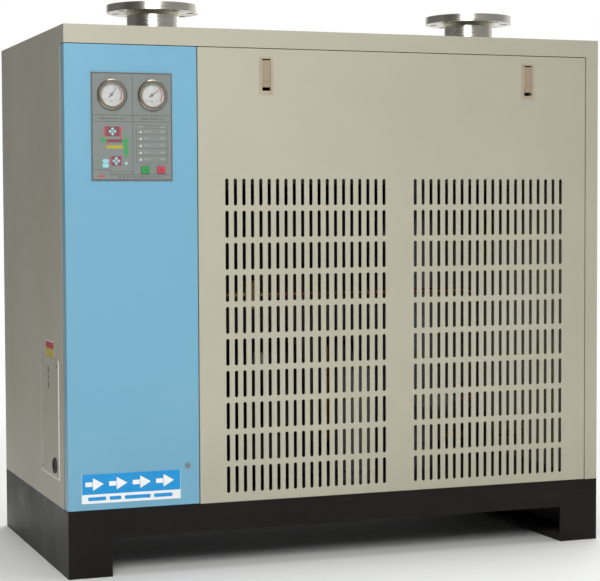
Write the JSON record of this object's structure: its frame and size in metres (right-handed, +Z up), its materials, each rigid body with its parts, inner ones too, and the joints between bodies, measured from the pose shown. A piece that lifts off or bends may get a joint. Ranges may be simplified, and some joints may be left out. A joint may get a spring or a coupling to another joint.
{
  "type": "refrigerated air dryer",
  "caption": "Free-standing cabinet dryer for compressed air with a hinged service door, a slotted front panel, roof flanges and a black channel base with a fork gap.",
  "frame": {"origin": "on the floor under the middle of the cabinet's footprint", "axes": "+X to the right along the front, +Y to the back, +Z up; the door and the slotted panel face -Y"},
  "size_m": [1.312, 0.712, 1.29],
  "materials": {
    "base_paint": "satin black enamel on rolled channel",
    "cabinet_paint": "fine-textured beige powder coat",
    "door_paint": "satin blue powder coat",
    "frame_paint": "grey-green powder coat",
    "galvanised": "zinc-coated sheet",
    "polished_steel": "turned and polished stainless steel",
    "vessel_foam": "closed-cell insulation over a steel shell",
    "vessel_paint": "grey hammer enamel",
    "compressor_paint": "gloss black stove enamel",
    "fins": "pressed fins",
    "copper": "drawn copper tube",
    "brass_fitting": "turned brass",
    "black_plastic": "moulded black nylon",
    "grey_plastic": "moulded grey polyamide",
    "control_face": "printed grey overlay on sheet metal",
    "latch_plastic": "moulded tan ABS",
    "rubber": "moulded black rubber",
    "bezel_steel": "polished bezel",
    "dial_white": "printed dial",
    "lens_glass": "flat window glass",
    "lamp_clear": "pale lamp lens",
    "green_button": "moulded green button",
    "red_button": "moulded red button",
    "plate_face": "plain printed plate",
    "needle_black": "matt black pointer"
  },
  "bodies": {
    "root": {"base_rail_left": "base_paint", "base_rail_right": "base_paint", "base_front_beam": "base_paint", "base_rear_beam": "base_paint", "base_deck": "base_paint", "post_front_left": "cabinet_paint", "post_front_right": "cabinet_paint", "top_rail_front": "cabinet_paint", "partition": "galvanised", "exchanger_rails": "frame_paint", "top_cap": "cabinet_paint", "side_panel_left": "cabinet_paint", "side_panel_right": "cabinet_paint", "rear_panel": "cabinet_paint", "service_cover": "cabinet_paint", "cable_grommet": "rubber", "hinge_pins": "galvanised", "inlet_nozzle": "polished_steel", "outlet_nozzle": "polished_steel", "roof_collars": "rubber", "precooler": "vessel_foam", "evaporator": "vessel_foam", "separator": "vessel_paint", "air_pipes": "galvanised", "drain_valve": "brass_fitting", "auto_drain": "black_plastic", "drain_line": "brass_fitting", "compressor": "compressor_paint", "compressor_mounts": "rubber", "receiver": "vessel_paint", "filter_drier": "vessel_paint", "expansion_valve": "brass_fitting", "condenser_coil": "fins", "suction_line": "copper", "discharge_line": "copper", "liquid_line": "copper", "fan_motors": "compressor_paint", "contactor": "grey_plastic", "circuit_breaker": "grey_plastic", "terminal_strip": "grey_plastic"},
    "door": {"door": "door_paint", "control_panel": "control_face", "gauge_cases": "bezel_steel", "gauge_dials": "dial_white", "gauge_lenses": "lens_glass", "status_lamps": "lamp_clear", "name_plate": "plate_face"},
    "door_lock": {"door_lock_cam": "galvanised"},
    "needle_left": {"needle_left": "needle_black"},
    "needle_right": {"needle_right": "needle_black"},
    "start_button": {"start_button": "green_button"},
    "stop_button": {"stop_button": "red_button"},
    "grille_panel": {"grille_panel": "cabinet_paint", "latch_frames": "latch_plastic"},
    "latch_left": {"latch_slide_left": "latch_plastic"},
    "latch_right": {"latch_slide_right": "latch_plastic"},
    "fan_left": {"fan_left": "black_plastic"},
    "fan_right": {"fan_right": "black_plastic"},
    "drain_lever": {"drain_valve_lever": "galvanised"},
    "breaker_toggle": {"breaker_toggle": "black_plastic"}
  },
  "joints": [
    {"name": "door_hinge", "type": "hinge", "parent": "root", "child": "door", "pos_m": [-0.636, -0.336, 0.65], "axis": [0, 0, -1], "range_deg": [0, 110]},
    {"name": "door_lock_turn", "type": "hinge", "parent": "door", "child": "door_lock", "pos_m": [-0.38, -0.33, 0.236], "axis": [0, 1, 0], "range_deg": [0, 90]},
    {"name": "needle_left_turn", "type": "hinge", "parent": "door", "child": "needle_left", "pos_m": [-0.546, -0.353, 1.0505], "axis": [0, 1, 0], "range_deg": [-175, 95]},
    {"name": "needle_right_turn", "type": "hinge", "parent": "door", "child": "needle_right", "pos_m": [-0.4555, -0.353, 1.0505], "axis": [0, 1, 0], "range_deg": [-190, 80]},
    {"name": "start_button_push", "type": "slide", "parent": "door", "child": "start_button", "axis": [0, 1, 0], "range_m": [0, 0.0015], "stiffness_N_per_m": 600, "springref_m": -0.001},
    {"name": "stop_button_push", "type": "slide", "parent": "door", "child": "stop_button", "axis": [0, 1, 0], "range_m": [0, 0.0015], "stiffness_N_per_m": 600, "springref_m": -0.001},
    {"name": "grille_panel_tilt", "type": "hinge", "parent": "root", "child": "grille_panel", "pos_m": [0.1325, -0.35, 0.1473], "axis": [1, 0, 0], "range_deg": [0, 20]},
    {"name": "latch_left_slide", "type": "slide", "parent": "grille_panel", "child": "latch_left", "axis": [0, 0, -1], "range_m": [0, 0.007], "stiffness_N_per_m": 300, "springref_m": -0.003},
    {"name": "latch_right_slide", "type": "slide", "parent": "grille_panel", "child": "latch_right", "axis": [0, 0, -1], "range_m": [0, 0.007], "stiffness_N_per_m": 300, "springref_m": -0.003},
    {"name": "fan_left_spin", "type": "hinge", "parent": "root", "child": "fan_left", "pos_m": [-0.09, 0.305, 0.5], "axis": [0, 1, 0], "continuous": true},
    {"name": "fan_right_spin", "type": "hinge", "parent": "root", "child": "fan_right", "pos_m": [0.37, 0.305, 0.5], "axis": [0, 1, 0], "continuous": true},
    {"name": "drain_lever_turn", "type": "hinge", "parent": "root", "child": "drain_lever", "pos_m": [0.445, 0.03, 0.25], "axis": [0, 0, -1], "range_deg": [0, 90]},
    {"name": "breaker_toggle_turn", "type": "hinge", "parent": "root", "child": "breaker_toggle", "pos_m": [-0.454, -0.204, 0.745], "axis": [1, 0, 0], "range_deg": [0, 40]}
  ]
}
